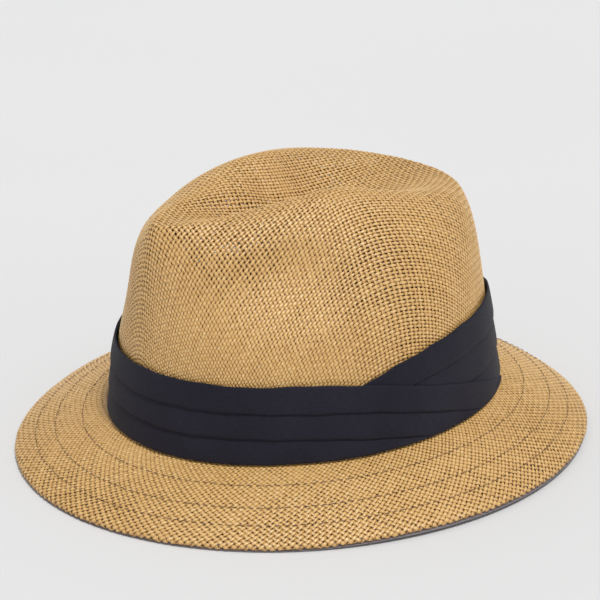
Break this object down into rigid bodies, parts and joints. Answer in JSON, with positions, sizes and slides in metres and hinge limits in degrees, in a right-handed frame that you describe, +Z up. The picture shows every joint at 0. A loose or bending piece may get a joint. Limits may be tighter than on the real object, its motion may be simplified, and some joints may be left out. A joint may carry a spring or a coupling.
{
  "type": "fedora hat",
  "caption": "Fedora-style straw hat: pinched and dented woven crown on a gently down-turned stitched brim, with a pleated cloth band outside and a sweatband inside.",
  "frame": {"origin": "middle of the brim's length and width, at the level of the brim's lowest edge, which the hat rests on", "axes": "+X to the wearer's left, +Y to the back of the head (the front of the hat faces -Y), +Z up through the crown"},
  "size_m": [0.274, 0.305, 0.1403],
  "materials": {
    "straw": "matte woven paper straw",
    "brim_cloth": "matte grey cloth",
    "band_cloth": "matte navy cotton cloth",
    "tape": "matte cotton tape",
    "sweatband_cloth": "soft matte cotton twill",
    "thread": "matte sewing thread",
    "dark_thread": "matte sewing thread",
    "spring_wire": "clear-drawn nylon",
    "label": "satin woven label"
  },
  "bodies": {
    "root": {"band_backing_tape": "tape", "band_front": "band_cloth", "band_tack_front": "dark_thread", "band_tack_left": "dark_thread", "band_tack_rear": "dark_thread", "band_tack_right": "dark_thread", "band_wrap": "band_cloth", "brim_edge_binding": "brim_cloth", "brim_edge_wire": "spring_wire", "brim_lining": "brim_cloth", "brim_stitch_inner": "thread", "brim_stitch_middle": "thread", "brim_stitch_outer": "thread", "brim_straw": "straw", "care_label": "label", "crown_shell": "straw", "seam_tape": "tape", "size_label": "label", "sweatband": "sweatband_cloth", "sweatband_joint_tape": "tape", "sweatband_reed": "spring_wire", "sweatband_stitching": "dark_thread"}
  },
  "joints": []
}
